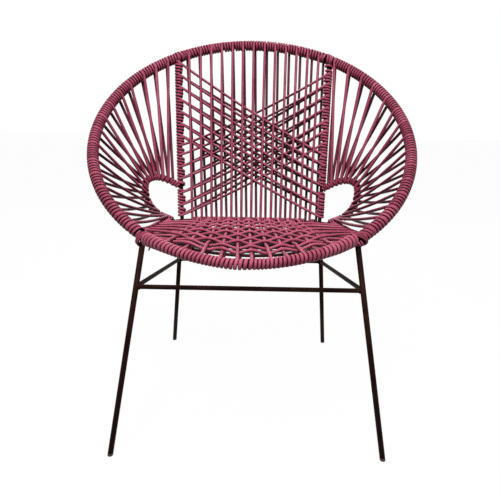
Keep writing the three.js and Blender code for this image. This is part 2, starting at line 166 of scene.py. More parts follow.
def smooth_line(points, steps):
    """A rounded line through the points, with even knots in the manner of the solids' loops."""
    ends = [2 * points[0] - points[1], *points, 2 * points[-1] - points[-2]]
    line = []
    for i in range(1, len(ends) - 2):
        a, b, c, d = ends[i - 1:i + 3]
        before, here, after = (math.sqrt((q - p).length) for p, q in ((a, b), (b, c), (c, d)))
        leave = ((b - a) / before - (c - a) / (before + here) + (c - b) / here) * here
        arrive = ((c - b) / here - (d - b) / (here + after) + (d - c) / after) * here
        for k in range(steps):
            t = k / steps
            line.append(b + leave * t + (3 * (c - b) - 2 * leave - arrive) * t ** 2
                        + (2 * (b - c) + leave + arrive) * t ** 3)
    line.append(points[-1].copy())
    return line


ARM_JOINT_SHARE = 0.2
# Shares of the arm loop's reach out, forward and down, from its joint with the upright
ARM_LOOP_REACH = 0.0865, 0.05, 0.072
ARM_LOOP_SHARES = [
    (0.24, -0.04, -0.19), (0.72, -0.14, -0.34), (0.97, -0.04, -0.22),
    (1, 0.18, 0.08), (0.88, 0.46, 0.5), (0.6, 0.74, 0.8),
]
ARM_LOOP_END = 0.19
arm_joint = upright_point(ARM_JOINT_SHARE, 1)
arm_knots = [arm_joint]
for shares in ARM_LOOP_SHARES:
    out, forward, down = (share * reach for share, reach in zip(shares, ARM_LOOP_REACH))
    arm_knots.append(arm_joint + Vector((out, -forward, -down)))
arm_knots.append(seat_point(seat_turn_behind(ARM_LOOP_END)))
arm_line = smooth_line(arm_knots, 30)


def value_at(values, place):
    """The value at a place counted in steps along a list of values."""
    place = min(max(place, 0), len(values) - 1)
    low = min(int(place), len(values) - 2)
    return values[low] + (values[low + 1] - values[low]) * (place - low)


class Rod:
    """A rod's line with, at any length along it, its front and the side that its cords leave for.

    The middle of a cord that is wound on it runs at the radius."""

    def __init__(self, points, facing, inward, radius=0.0):
        self.points = points
        self.facing = facing
        self.inward = inward
        self.radius = radius
        steps = ((b - a).length for a, b in zip(points, points[1:]))
        self.lengths = list(itertools.accumulate(steps, initial=0.0))
        self.length = self.lengths[-1]

    def place(self, length):
        """The centre and the direction of the rod at a length along it."""
        low = max(bisect.bisect_right(self.lengths, length, 0, len(self.lengths) - 1) - 1, 0)
        a, b = self.points[low], self.points[low + 1]
        share = (length - self.lengths[low]) / (self.lengths[low + 1] - self.lengths[low])
        before = self.points[max(low - 1, 0)]
        after = self.points[min(low + 2, len(self.points) - 1)]
        tangent = (b - before).normalized().lerp((after - a).normalized(), share).normalized()
        return a.lerp(b, share), tangent

    def section(self, length):
        centre, tangent = self.place(length)
        front = (self.facing - tangent * self.facing.dot(tangent)).normalized()
        inner = tangent.cross(front) * self.inward
        return centre, front, inner

    def around(self, length, angle, lift=0.0):
        """A cord's point and its outward direction: angle 0 is the front, a quarter turn the inner side."""
        centre, front, inner = self.section(length)
        outward = front * math.cos(angle) + inner * math.sin(angle)
        return centre + outward * (self.radius + lift), outward

    def length_at(self, share):
        """The length at a share of the rod's evenly turned points."""
        return value_at(self.lengths, share * (len(self.points) - 1))

    def length_where(self, axis, value):
        """The length at which the rod's line comes nearest to a value of x (0), y (1) or z (2)."""
        best = min(range(len(self.points)), key=lambda i: abs(self.points[i][axis] - value))
        return self.lengths[best]


def sampled(point_at, start, end, count):
    return [point_at(start + (end - start) * i / count) for i in range(count + 1)]


def wound(rod, start, end, pitch, tuck=0.0, slant=None, tall=1.0, swell=None, lift=0.0):
    """Turns of cord from one (length, angle) to another, as many as come nearest to the pitch.

    The pitch is a number, or a function of the length along the rod. The slant and the swell, such
    functions too, tell how far the turns there lean along the rod, and how much thicker they lie.
    The tuck draws the ends in towards the rod, and the lift moves all the turns out."""
    away = end[0] - start[0]
    pieces = max(8, math.ceil(abs(away) / WINDING_STEP))
    lengths = [start[0] + away * i / pieces for i in range(pieces + 1)]
    spacings = [pitch(length) if callable(pitch) else pitch for length in lengths]
    step = max(abs(away) / pieces, 1e-9)
    turned = list(itertools.accumulate((step / spacing for spacing in spacings[:-1]), initial=0.0))
    swing = (end[1] - start[1]) % TURN
    swing += max(0, round(turned[-1] - swing / TURN)) * TURN
    stretch = turned[-1] * TURN / swing
    count = max(3, math.ceil(swing / TURN * STEPS_A_TURN))
    line, at = [], 0
    for i in range(count + 1):
        goal = i / count * turned[-1]
        while at < pieces - 1 and turned[at + 1] < goal:
            at += 1
        inside = (goal - turned[at]) / (turned[at + 1] - turned[at])
        length = lengths[at] + (lengths[at + 1] - lengths[at]) * inside
        from_end = min(i, count - i) / STEPS_A_TURN
        wide = TURN_FILL * spacings[at] * max(stretch, 0.8) / CORD_WIDTH
        angle = start[1] + swing * i / count
        if slant:
            length += slant(length) * math.sin(angle) * min(1, 2 * from_end)
            length = min(max(length, 0), rod.length)
        more = swell(length) if swell else 0
        point, outward = rod.around(length, angle, lift + more / 2 - tuck * max(0, 1 - 3 * from_end))
        # The settled share widens a turn to its pitch, and mixes in the painted shade of pressed turns
        settled = min(1, 4 * from_end)
        line.append((point, outward, 1 + (wide - 1) * settled, tall + more / CORD_HEIGHT, settled))
    return line


def lashing(points, facing, inward, radius, pitch, lean=0.0):
    """A few turns round a short line at a joint, over the windings that end there."""
    rod = Rod(points, facing, inward, radius)
    start, end = (0.0005, math.pi), (rod.length - 0.0005, math.pi)
    return wound(rod, start, end, pitch, 0.002, lambda length: lean)


def cord_end(base, offsets):
    """A short, thin end of cord that sticks out of a winding."""
    line = smooth_line([base + Vector(offset) for offset in offsets], 4)
    # The last number is the end's share of the pressed turns' painted shade
    return [(point, UP, 0.62, 0.72, 0.4) for point in line]


def leaving_angle(rod, length, direction):
    """The angle at which a cord that turns round the rod moves in this direction."""
    _, front, inner = rod.section(length)
    return math.atan2(-direction.dot(front), direction.dot(inner))


def twisted(out, face, axis, share):
    """The outward direction, turned about the cord by a share of the way to the face."""
    flat = face - axis * face.dot(axis)
    angle = math.atan2(axis.dot(out.cross(flat)), out.dot(flat))
    return (Matrix.Rotation(angle * share, 3, axis) @ out).normalized()


def strung(rod_a, length_a, rod_b, length_b, face, sag=0.0, bow=0.0, painted_shade=0.0, thick=1.0):
    """A tight cord from one rod's winding to another's, with the angles at its ends.

    Between its ends the cord's outer face, painted light, lies towards the face, and it bows towards the
    back's front. Its painted shade share mixes in the darker painted shade of pressed turns."""
    here, there = rod_a.place(length_a)[0], rod_b.place(length_b)[0]
    for _ in range(4):
        direction = (there - here).normalized()
        angle_a = leaving_angle(rod_a, length_a, direction)
        angle_b = leaving_angle(rod_b, length_b, direction)
        here, front_a = rod_a.around(length_a, angle_a)
        there, front_b = rod_b.around(length_b, angle_b)
    direction = (there - here).normalized()
    size = thick * STRUNG_WIDTH / CORD_WIDTH, thick * STRUNG_HEIGHT / CORD_HEIGHT
    line = []
    for i in range(1, STRUNG_STEPS):
        share = i / STRUNG_STEPS
        point = here.lerp(there, share) - Vector((0, 0, 4 * sag * share * (1 - share)))
        point += back_front * bow * math.sin(math.pi * share) ** 0.7
        end, near = (front_a, share) if share < 0.5 else (front_b, 1 - share)
        line.append((point, twisted(end, face, direction, min(1, 4 * near)), *size, painted_shade))
    return line, angle_a, angle_b


def plump(line):
    """The same line, thicker and rounder, with less painted shade: a hook that is not pressed flat."""
    return [(point, out, wide * PLUMPNESS, tall * PLUMPNESS, min(painted_shade_share, PLUMP_PAINTED_SHADE))
            for point, out, wide, tall, painted_shade_share in line]


def as_one(*runs):
    """Joins lines end to end, without a doubled point where they meet."""
    whole = []
    for run in runs:
        for point in run:
            if not whole or (point[0] - whole[-1][0]).length > 1e-6:
                whole.append(point)
    return whole


def placed(name, data):
    """A new object in the scene."""
    thing = bpy.data.objects.new(name, data)
    bpy.context.scene.collection.objects.link(thing)
    return thing


# The node tree that makes the pieces
def give(tree, node, inputs):
    """Sets a node's inputs to values, or links them to other sockets."""
    for key, value in inputs.items():
        if isinstance(value, bpy.types.NodeSocket):
            tree.links.new(value, node.inputs[key])
        else:
            node.inputs[key].default_value = value
    return node


def add_node(tree, kind, inputs=None, **settings):
    node = tree.nodes.new(kind)
    for key, value in settings.items():
        setattr(node, key, value)
    return give(tree, node, inputs or {})


def maths(tree, operation, a, b=None):
    inputs = {0: a}
    if b is not None:
        inputs[1] = b
    return add_node(tree, "ShaderNodeMath", inputs, operation=operation).outputs[0]


def named(tree, label, kind="FLOAT"):
    node = add_node(tree, "GeometryNodeInputNamedAttribute", {"Name": label}, data_type=kind)
    return node.outputs["Attribute"]


def cord_tree():
    """Sweeps an oval section along lines of points. The section's height faces the points' outward."""
    tree = bpy.data.node_groups.new("plastic_cord", "GeometryNodeTree")
    sockets = tree.interface.new_socket
    sockets("Geometry", in_out="INPUT", socket_type="NodeSocketGeometry")
    for label, kind in (("Width", "Float"), ("Height", "Float"), ("Sides", "Int"), ("Finish", "Material")):
        sockets(label, in_out="INPUT", socket_type="NodeSocket" + kind)
    sockets("Geometry", in_out="OUTPUT", socket_type="NodeSocketGeometry")
    given = tree.nodes.new("NodeGroupInput").outputs
    outward = named(tree, "outward", "FLOAT_VECTOR")
    lines = add_node(tree, "GeometryNodeMeshToCurve", {"Mesh": given["Geometry"]})
    turned = add_node(tree, "GeometryNodeSetCurveNormal", {
        "Curve": lines.outputs[0], "Normal": outward}, mode="FREE")
    circle = add_node(tree, "GeometryNodeCurvePrimitiveCircle", {"Resolution": given["Sides"], "Radius": 0.5})
    place = add_node(tree, "GeometryNodeInputPosition")
    marked = add_node(tree, "GeometryNodeStoreNamedAttribute", {
        "Geometry": circle.outputs["Curve"], "Name": "section", "Value": place.outputs[0]},
        data_type="FLOAT_VECTOR", domain="POINT")
    size = add_node(tree, "ShaderNodeCombineXYZ", {"X": given["Height"], "Y": given["Width"], "Z": 1.0})
    oval = add_node(tree, "GeometryNodeTransform", {"Geometry": marked.outputs[0], "Scale": size.outputs[0]})
    swept = add_node(tree, "GeometryNodeCurveToMesh", {
        "Curve": turned.outputs[0], "Profile Curve": oval.outputs[0], "Fill Caps": True})
    # Where the cord is pressed wide or lies thick, its skin is pushed out from the plain oval
    section = add_node(tree, "ShaderNodeSeparateXYZ", {0: named(tree, "section", "FLOAT_VECTOR")})
    pushes = []
    for direction, share, axis, full in (
            (named(tree, "across", "FLOAT_VECTOR"), named(tree, "wide"), "Y", given["Width"]),
            (outward, named(tree, "tall"), "X", given["Height"])):
        more = maths(tree, "MULTIPLY", maths(tree, "SUBTRACT", share, 1.0), full)
        pushes.append(add_node(tree, "ShaderNodeVectorMath", {
            0: direction, "Scale": maths(tree, "MULTIPLY", section.outputs[axis], more)},
            operation="SCALE").outputs[0])
    push = add_node(tree, "ShaderNodeVectorMath", {0: pushes[0], 1: pushes[1]}, operation="ADD")
    step = add_node(tree, "GeometryNodeSetPosition", {
        "Geometry": swept.outputs[0], "Offset": push.outputs[0]})
    for kind in ("GeometryNodeSetShadeSmooth", "GeometryNodeRealizeInstances", "GeometryNodeSetMaterial"):
        step = add_node(tree, kind, {"Geometry": step.outputs[0]})
    give(tree, step, {"Material": given["Finish"]})
    add_node(tree, "NodeGroupOutput", {0: step.outputs[0]})
    return tree


def lines_mesh(name, lines):
    """A mesh of open lines, with what the cord tree needs at each of their points."""
    verts, edges = [], []
    vectors = {"outward": [], "across": []}
    numbers = {"wide": [], "tall": [], "painted_shade_share": [], "run": [], "cord_number": []}
    for line in lines:
        cord_number, run = chance.random(), chance.random()
        for i, (point, out, wide, tall, painted_shade_share) in enumerate(line):
            if i:
                edges.append((len(verts) - 1, len(verts)))
                run += (point - verts[-1]).length
            tangent = line[min(i + 1, len(line) - 1)][0] - line[max(i - 1, 0)][0]
            verts.append(point)
            vectors["outward"].extend(out)
            vectors["across"].extend(tangent.cross(out).normalized())
            for values, value in zip(numbers.values(), (wide, tall, painted_shade_share, run, cord_number)):
                values.append(value)
    mesh = bpy.data.meshes.new(name)
    mesh.from_pydata(verts, edges, [])
    for labelled, kind, field in ((vectors, "FLOAT_VECTOR", "vector"), (numbers, "FLOAT", "value")):
        for label, values in labelled.items():
            mesh.attributes.new(label, kind, "POINT").data.foreach_set(field, values)
    return mesh


# Finishes
def shader(name):
    """A new material with its tree, its main shader, and the object's own coordinates."""
    finish = bpy.data.materials.new(name)
    finish.use_nodes = True
    tree = finish.node_tree
    return finish, tree, tree.nodes["Principled BSDF"], add_node(tree, "ShaderNodeTexCoord").outputs["Object"]


def noise(tree, place, scale, detail, roughness=0.5):
    return add_node(tree, "ShaderNodeTexNoise", {
        "Vector": place, "Scale": scale, "Detail": detail, "Roughness": roughness}).outputs["Fac"]


def ramp(tree, value, stops):
    """Colours by value, from (position, colour) stops, where a plain number stands for a shade of grey."""
    node = add_node(tree, "ShaderNodeValToRGB", {0: value})
    for i, (position, colour) in enumerate(stops):
        stop = node.color_ramp.elements[i] if i < 2 else node.color_ramp.elements.new(position)
        stop.position = position
        stop.color = (*colour, 1) if isinstance(colour, tuple) else (colour, colour, colour, 1)
    return node.outputs[0]


def mapped(tree, value, low, high):
    return add_node(tree, "ShaderNodeMapRange", {"Value": value, "To Min": low, "To Max": high}).outputs[0]


def bump(tree, height, strength, distance):
    node = add_node(tree, "ShaderNodeBump", {"Height": height, "Strength": strength, "Distance": distance})
    return node.outputs[0]


# Painted shade and painted highlight across a cord, as shares of its colour, from its inner face (0) to its
# outer one (1), for loose cords and for pressed turns
BACK_LOOSE_PAINTED_LIGHT = ((0.0, 0.42), (0.25, 0.36), (0.45, 0.22), (0.62, 0.36), (0.8, 0.72), (0.92, 1.0),
                     (1.0, 1.12))
BACK_TURN_PAINTED_LIGHT = ((0.0, 0.22), (0.4, 0.04), (0.74, 0.06), (0.85, 0.42), (0.94, 1.0), (1.0, 1.16))
SEAT_LOOSE_PAINTED_LIGHT = ((0.0, 0.05), (0.26, 0.05), (0.46, 0.62), (0.8, 1.0), (1.0, 1.16))
SEAT_TURN_PAINTED_LIGHT = ((0.0, 0.12), (0.4, 0.05), (0.7, 0.08), (0.80, 0.55), (0.88, 1.0), (1.0, 1.08))


def cord_finish(name, deep, middle, bright, loose_painted_light, turn_painted_light):
    """Extruded plastic: a satin skin with fine drawn lines, soft blotches, and a tone to each cord, times
    painted shade and painted highlight across the cord.
    """
    finish, tree, body, place = shader(name)
    section, run, number, painted_shade_share = (
        add_node(tree, "ShaderNodeAttribute", attribute_name=label)
        for label in ("section", "run", "cord_number", "painted_shade_share"))
    sides = add_node(tree, "ShaderNodeSeparateXYZ", {0: section.outputs["Vector"]}).outputs
    drawn = add_node(tree, "ShaderNodeCombineXYZ", {
        axis: maths(tree, "MULTIPLY", value, share)
        for axis, value, share in (
            ("X", sides["X"], 2.2), ("Y", sides["Y"], 2.2), ("Z", run.outputs["Fac"], 9.0))})
    streak = noise(tree, drawn.outputs[0], 5.0, 3.0, 0.6)
    mixed = maths(tree, "ADD", maths(tree, "MULTIPLY", noise(tree, place, 38.0, 4.0), 0.5),
                  maths(tree, "MULTIPLY", streak, 0.42))
    colour = ramp(tree, maths(tree, "ADD", mixed, maths(tree, "MULTIPLY", number.outputs["Fac"], 0.16)),
                  ((0.3, deep), (0.54, middle), (0.82, bright)))
    # Painted shade on a cord's inner face and on the sides of turns that touch, and a painted highlight on
    # its outer face
    height = maths(tree, "ADD", sides["X"], 0.5)
    painted_light_share = add_node(tree, "ShaderNodeMix", {
        "Factor": painted_shade_share.outputs["Fac"],
        "A": ramp(tree, height, loose_painted_light), "B": ramp(tree, height, turn_painted_light)})
    wear_and_painted_light = add_node(tree, "ShaderNodeVectorMath", {0: colour, "Scale": painted_light_share.outputs[0]}, operation="SCALE")
    give(tree, body, {
        "Base Color": wear_and_painted_light.outputs[0], "Roughness": mapped(tree, streak, 0.26, 0.42),
        "Normal": bump(tree, streak, 0.25, 0.0004), "Specular IOR Level": 0.08})
    return finish


def paint_finish(name, dark, wear_and_painted_light):
    """Brushed-on brown-black paint over steel: orange peel, thin rubbed spots and dusty patches."""
    finish, tree, body, place = shader(name)
    fleck = noise(tree, place, 260.0, 3.0)
    give(tree, body, {
        "Base Color": ramp(tree, noise(tree, place, 22.0, 6.0, 0.62), ((0.35, dark), (0.75, wear_and_painted_light))),
        "Roughness": mapped(tree, fleck, 0.42, 0.62),
        "Normal": bump(tree, fleck, 0.25, 0.0006), "Specular IOR Level": 0.03})
    return finish


def moulded_finish(name, colour):
    """Black moulded plastic, scuffed where it meets the ground."""
    finish, tree, body, place = shader(name)
    scuffed = tuple(3 * share for share in colour)
    give(tree, body, {
        "Base Color": ramp(tree, noise(tree, place, 90.0, 5.0), ((0.4, colour), (0.8, scuffed))),
        "Normal": bump(tree, noise(tree, place, 420.0, 3.0), 0.3, 0.0003), "Roughness": 0.6})
    return finish


# Both finishes are the same wine cord: the seat's copy is painted lighter, with its own painted shade and
# painted highlight
back_cord = cord_finish("wine_cord", (0.17, 0.024, 0.046), (0.29, 0.052, 0.094), (0.43, 0.100, 0.165),
                        BACK_LOOSE_PAINTED_LIGHT, BACK_TURN_PAINTED_LIGHT)
seat_cord = cord_finish("wine_cord_of_the_seat", (0.23, 0.033, 0.062), (0.37, 0.070, 0.122),
                        (0.52, 0.13, 0.20), SEAT_LOOSE_PAINTED_LIGHT, SEAT_TURN_PAINTED_LIGHT)
steel = paint_finish("brown_black_paint", (0.010, 0.0030, 0.0022), (0.034, 0.013, 0.0105))
plug_plastic = moulded_finish("black_plug_plastic", (0.012, 0.010, 0.010))

CORD_TREE = cord_tree()


def stands_for(piece, nodes):
    """Fixes a piece to the frame in place of the solids named."""
    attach(piece, "root")
    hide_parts(*nodes)


def swept_piece(name, lines, nodes, finish, width, height, sides):
    """Runs the cord tree over lines, and keeps the result as one plain piece."""
    values = {"Width": width, "Height": height, "Sides": sides, "Finish": finish}
    holder = placed(name + "_lines", lines_mesh(name, lines))
    sweep = holder.modifiers.new("sweep", "NODES")
    sweep.node_group = CORD_TREE
    for item in CORD_TREE.interface.items_tree:
        if item.in_out == "INPUT" and item.name in values:
            sweep[item.identifier] = values[item.name]
    bpy.context.view_layer.update()
    evaluated = holder.evaluated_get(bpy.context.evaluated_depsgraph_get())
    result = bpy.data.meshes.new_from_object(evaluated)
    holder.modifiers.clear()
    bpy.data.objects.remove(holder)
    result.name = name
    stands_for(placed(name, result), nodes)


def cord_piece(name, lines, nodes, finish=back_cord):
    swept_piece(name, lines, nodes, finish, CORD_WIDTH, CORD_HEIGHT, 12)


# Rods with their fronts
def hoop_rod(sign):
    points = sampled(lambda turn: hoop_point(sign * turn), 0, HOOP_END_TURN, 400)
    return Rod(points, HOOP_FRONT, sign, ON_HOOP)


def arm_rod(sign):
    return Rod([mirrored(p, sign) for p in arm_line], HOOP_FRONT, sign, ON_ROD)


hoop_side = hoop_rod(1)


def hoop_length(turn):
    """The length along the hoop from its top to a turn in degrees."""
    return hoop_side.length_at(math.radians(turn) / HOOP_END_TURN)


def hoop_pitch(length):
    """The turns lie a little looser towards the hoop's ends."""
    start, end = (hoop_length(turn) for turn in HOOP_LOOSENS)
    return HOOP_PITCH + HOOP_PITCH_GAIN * min(1, max(0, (length - start) / (end - start)))


# Side fans: from each departure one cord runs down the front and one behind, to two wraps of the arm loop.
# Departures and other turns are degrees from the hoop's top, wraps are shares of the loop's length
DEPARTURES = {
    -1: [38.5, 44.7, 51.4, 59.4, 65.8, 73.3, 80.7, 87.7, 95.6, 104.3, 111.3, 118.5, 126.2, 132.4, 138.2],
    1: [36.0, 43.2, 50.5, 57.4, 66.3, 73.8, 81.2, 88.7, 96.4, 104.0, 111.4, 118.6, 125.8, 132.2, 138.2],
}
LOW_WRAPS = [0.525, 0.580, 0.658, 0.749, 0.842, 0.911]
WRAP_SHARES = {
    -1: [0.094, 0.150, 0.205, 0.250, 0.288, 0.324, 0.360, 0.398, 0.438, 0.480, *LOW_WRAPS],
    1: [0.070, 0.114, 0.166, 0.214, 0.258, 0.300, 0.344, 0.388, 0.432, 0.477, *LOW_WRAPS],
}
HOOP_PITCH = 0.0069
HOOP_PITCH_GAIN = 0.0013
HOOP_LOOSENS = 100, 130
LOOP_PITCH = 0.0060
REAR_LAG = -0.001
FRONT_SPREAD = 1.5
REAR_SPREAD = 0.3
FAN_THICK = 1.1
FAN_SAG = 0.0006
LOW_SAG = 0.0035
REAR_SAG_SHARE = 1.3
HOOK_TURNS = 0.5
LOW_HOOK_TURNS = 1.5
FIRST_LOW_HOOK = 12
FIRST_TURN = {-1: 33.0, 1: 33.6}
LAST_TURN = 142.9
END_SLANT = {-1: 0.002, 1: 0.0085}
SLANT_REACH = 0.045
LOOP_HEAD = 0.0125
LOOP_SUNK = 0.0012
LOOP_GAP = 0.007
LOOP_BARE_FROM, LOOP_BARE_TO = 11, 15
HEAD_TURN = 32.9
HEAD_REACH = 0.0075
HEAD_LEAN = {-1: -0.004, 1: 0.004}
# Radius, pitch and lean of the turns tied over joints: the hoop's upper ones, a loose loop and a knob on the
# left, flat turns and a curl on the right
HEAD_LASHING = ON_HOOP + 0.001, 0.0062
LOOSE_LASHING = 0.0138, 0.0052, 0.003
LOOSE_SHIFT = Vector((-0.0015, -0.003, -0.0045))
KNOB = ((-0.007, -0.0135, 0.002), (-0.003, -0.015, 0.001), (0.002, -0.0145, 0.0005))
FLAT_LASHING = ON_HOOP + 0.0045, 0.0060, 0.0120
CURL_LASHING = 0.0042, 0.0045
STRETCH_NAMES = ("upper", "middle", "lower")


def joint_turns(hoop, sign):
    """The turns tied over the hoop's joint with the upright, and those over its joint with the ring."""
    head = hoop_length(HEAD_TURN)
    joint = [hoop.place(head + HEAD_REACH * (i / 4 - 1))[0] for i in range(9)]
    at_head = lashing(joint, HOOP_FRONT, sign, *HEAD_LASHING, HEAD_LEAN[sign])
    end, along = hoop.place(hoop.length)
    if sign < 0:
        loose = [end + LOOSE_SHIFT + along * (0.0013 * i - 0.003) for i in range(9)]
        return at_head, [plump(lashing(loose, HOOP_FRONT, sign, *LOOSE_LASHING)), cord_end(end, KNOB)]
    flat = [end + along * (-0.011 + 0.0022 * i) for i in range(9)]
    curl = [end + Vector((-0.001 + 0.0025 * i, -0.010, -0.0075 + 0.001 * i)) for i in range(5)]
    return at_head, [lashing(flat, HOOP_FRONT, sign, *FLAT_LASHING), lashing(curl, UP, 1, *CURL_LASHING)]


def side_cords(sign):
    """One side's hoop winding, its front and rear cords and their hooks round the loop, in three parts."""
    hoop, loop = hoop_rod(sign), arm_rod(sign)
    departures = [hoop_length(turn) for turn in DEPARTURES[sign]]
    count = len(departures)

    def landing(place):
        """The length along the loop at a place counted in wraps."""
        return value_at(WRAP_SHARES[sign], place) * loop.length

    def hook(start, end):
        return plump(wound(loop, start, end, LOOP_PITCH))

    fronts, rears = [], []
    for i, departure in enumerate(departures):
        # In the middle of the fan the front cords land lower on the loop, and the rear ones a little higher
        spread = max(0, min(1, (i - 4) / 3, (14 - i) / 2))
        sag = FAN_SAG + LOW_SAG * (i / (count - 1)) ** 2 + FAN_SAG * chance.random()
        reach = (LOW_HOOK_TURNS if i >= FIRST_LOW_HOOK else HOOK_TURNS) * LOOP_PITCH
        first, last = landing(i + 1 + FRONT_SPREAD * spread), landing(i - REAR_SPREAD * spread)
        front, leave, arrive = strung(hoop, departure, loop, first, HOOP_FRONT, sag=sag, thick=FAN_THICK)
        fronts.append((leave, as_one(front, hook((first, arrive), (first + reach, arrive + math.pi)))))
        # The rear cord turns its outer face back, so that the front sees its inner face, painted dark
        rear, leave, arrive = strung(loop, last + reach, hoop, departure + REAR_LAG, -HOOP_FRONT,
                                     sag=sag * REAR_SAG_SHARE, thick=FAN_THICK)
        rears.append((arrive, as_one(hook((last, leave - math.pi), (last + reach, leave)), rear)))

    def leaning(length):
        return END_SLANT[sign] * max(0, 1 - (hoop.length - length) / SLANT_REACH)

    def bay(i):
        """The turns on the hoop between rear cord i and front cord i + 1."""
        start = (hoop_length(FIRST_TURN[sign]), math.pi)
        if i >= 0:
            start = (departures[i] + REAR_LAG, rears[i][0])
        if i + 1 < count:
            return wound(hoop, start, (departures[i + 1], fronts[i + 1][0]), hoop_pitch)
        return wound(hoop, start, (hoop_length(LAST_TURN), 0), hoop_pitch, END_TUCK, leaning)

    lines = [[as_one(bay(-1), fronts[0][1])], [], []]
    for i in range(count):
        onward = fronts[i + 1][1] if i + 1 < count else []
        lines[i // 5].append(as_one(rears[i][1], bay(i), onward))
    start, end = landing(0) - LOOP_HEAD, landing(LOOP_BARE_FROM)
    lines[1].append(wound(loop, (start, 0), (end, 0), LOOP_PITCH, lift=-LOOP_SUNK))
    start, end = landing(LOOP_BARE_TO), loop.length - LOOP_GAP
    lines[2].append(wound(loop, (start, 0), (end, math.pi), LOOP_PITCH, FILL_TUCK))
    at_head, at_end = joint_turns(hoop, sign)
    lines[0].append(at_head)
    lines[2] += at_end
    return lines


# Back panel: upright cords in front of and behind the crossed ones
UPRIGHT_CORDS = 13
TOP_HALF = 0.161
FOOT_HALF = 0.144
HEAD_SHIFT = 0.0040
HEAD_SHIFT_GAIN = 0.0062
FOOT_SHIFT = 0.0125
BAR_PITCH = 0.0060
BAR_HALF = 0.166
BACK_BULGE = 0.0036
# Shares of the pressed turns' painted shade on the front and the rear upright cords
FRONT_PAINTED_SHADE = 0.7
REAR_PAINTED_SHADE = 0.4
HEAD_SLANT = 0.0045
HEAD_SLANT_REACH = 0.03
top_turn = math.radians(32.6)
top_rod = Rod(sampled(hoop_point, -top_turn, top_turn, 600), HOOP_FRONT, 1, ON_HOOP)
bar_rod = Rod(sampled(seat_point, seat_turn_across(-BAR_HALF, False) % TURN,
                      seat_turn_across(BAR_HALF, False) % TURN, 600), FORWARD, 1, ON_ROD)


def upright_cords():
    """The one cord of the hoop's top, the upright cords and the rear bar."""
    def leaning(length):
        near = max(0, 1 - length / HEAD_SLANT_REACH)
        far = max(0, 1 - (top_rod.length - length) / HEAD_SLANT_REACH)
        return HEAD_SLANT * (near - far)

    fronts, rears, heads, backs, feet = [], [], [], [], []
    for i in range(UPRIGHT_CORDS):
        across = 2 * i / (UPRIGHT_CORDS - 1) - 1
        wander = WANDER * (chance.random() - 0.5)
        heads.append(top_rod.length_where(0, across * TOP_HALF + wander))
        backs.append(heads[i] + HEAD_SHIFT + HEAD_SHIFT_GAIN * across)
        feet.append(bar_rod.length_where(0, across * FOOT_HALF - wander))
    for head, back, foot in zip(heads, backs, feet):
        fronts.append(strung(top_rod, head, bar_rod, foot, back_front, bow=BACK_BULGE, painted_shade=FRONT_PAINTED_SHADE))
        # The rear cords turn their outer face back, so that the front sees their inner face, painted dark
        rears.append(strung(bar_rod, foot + FOOT_SHIFT, top_rod, back, -back_front,
                            bow=-BACK_BULGE, painted_shade=REAR_PAINTED_SHADE))
    run = [wound(top_rod, (END_GAP, math.pi), (heads[0], fronts[0][1]), HOOP_PITCH, END_TUCK, leaning)]
    for i in range(UPRIGHT_CORDS):
        beside = (heads[i] + HOOP_PITCH, 0)
        run += [fronts[i][0],
                wound(bar_rod, (feet[i], fronts[i][2]), (feet[i] + FOOT_SHIFT, rears[i][1]), BAR_PITCH),
                rears[i][0], wound(top_rod, (backs[i], rears[i][2]), beside, HOOP_PITCH)]
        if i + 1 < UPRIGHT_CORDS:
            run.append(wound(top_rod, beside, (heads[i + 1], fronts[i + 1][1]), HOOP_PITCH))
    run.append(wound(top_rod, beside, (top_rod.length - END_GAP, 0), HOOP_PITCH, END_TUCK, leaning))
    return [as_one(*run)]


# Crossed cords: two sets between the uprights, each with its front and rear cords. Where they leave the
# left upright and meet the right one, as shares of its height, and how far they bow back between them
FALLING = {
    "lefts": (0.967, 0.892, 0.820, 0.742, 0.667, 0.594, 0.519),
    "rights": (0.411, 0.350, 0.288, 0.223, 0.160, 0.095, 0.035),
    "bows": (-0.0229, -0.0179), "first_rear": 0, "face": back_front + UP * 0.8,
}
# Each set turns its cords' outer face, painted light, towards its face; the rising set's face points more
# upward, so from the front it shows more of its painted shade
RISING = {
    "lefts": (0.451, 0.395, 0.323, 0.250, 0.165, 0.092, 0.031),
    "rights": (0.910, 0.848, 0.775, 0.700, 0.620, 0.559, 0.484),
    "bows": (-0.0286, -0.0222), "first_rear": 1, "face": back_front * 0.3 + UP,
}
upright_left, upright_right = (
    Rod([upright_point(1 - i / 60, sign) for i in range(61)], FORWARD, -1, ON_UPRIGHT) for sign in (-1, 1))
UPRIGHT_PITCH = 0.0077
ROUND = STRUNG_HEIGHT / CORD_HEIGHT
CROSSED_DROP = -0.0028
# Shares of the pressed turns' painted shade on the crossed front and rear cords
CROSSED_FRONT_PAINTED_SHADE = 1.0
CROSSED_REAR_PAINTED_SHADE = 0.6
HEAD_CLEARANCE = {-1: 0.015, 1: 0.024}
FOOT_CLEARANCE = 0.010
JOINT_GAP = (0.0065, 0.0050)
# Where the turns between two crossed cords start and end: pitches away from the cord, and half turns
FILL_ENDS = {-1: ((0.5, 1), (0.2, 0.62)), 1: ((0.4, 1.5), (0.5, 1))}
LEAST_FILL = 0.4
FILL_TUCK = 0.0015


def upright_turns(rod, start, end, tuck=0.0, pitch=UPRIGHT_PITCH, slant=None):
    return wound(rod, start, end, pitch, tuck, slant, ROUND)


